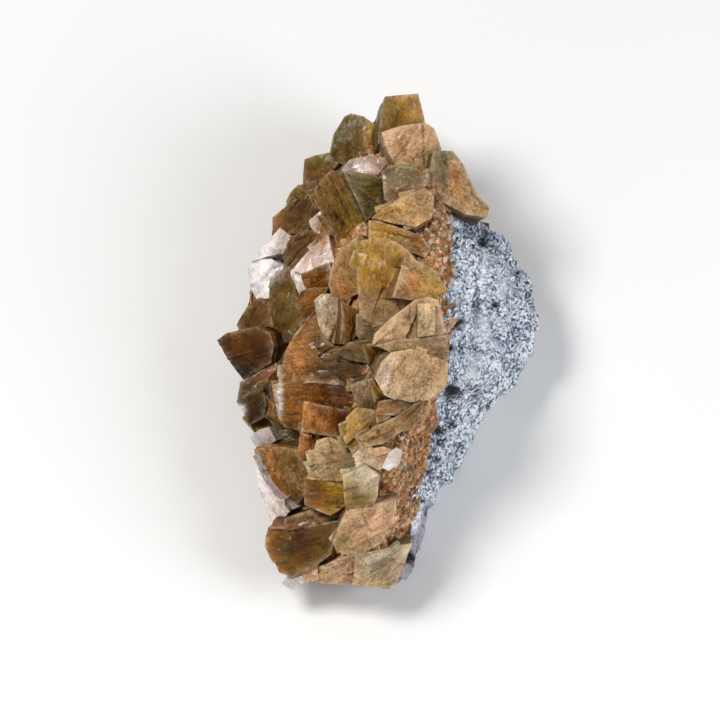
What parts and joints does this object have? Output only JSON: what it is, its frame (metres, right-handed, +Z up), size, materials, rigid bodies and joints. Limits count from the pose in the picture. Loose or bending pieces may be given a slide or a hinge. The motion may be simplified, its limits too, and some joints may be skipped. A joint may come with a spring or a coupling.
{
  "type": "siderite specimen",
  "caption": "Hand specimen of siderite: honey-brown blocky crystals grown together over a wedge of grey granular rock, lying on its flat broken back.",
  "frame": {"origin": "middle of the footprint, on the surface that the specimen lies on", "axes": "+Y along the specimen's length, away from its broad end, +X towards the bare grey rock, +Z up"},
  "size_m": [0.0498, 0.0804, 0.0409],
  "materials": {
    "grey_rock": "broken, granular, with glittering white, blue-grey and black grains",
    "siderite": "translucent honey, amber, olive and tan crystals, frosted to glossy, striated in places, iron-stained where they meet the rock",
    "white_quartz": "glassy white, slightly translucent"
  },
  "bodies": {
    "root": {"matrix_rock": "grey_rock", "siderite_crystals": "siderite", "quartz_sliver": "white_quartz", "quartz_chip": "white_quartz", "quartz_splinter": "white_quartz"}
  },
  "joints": []
}
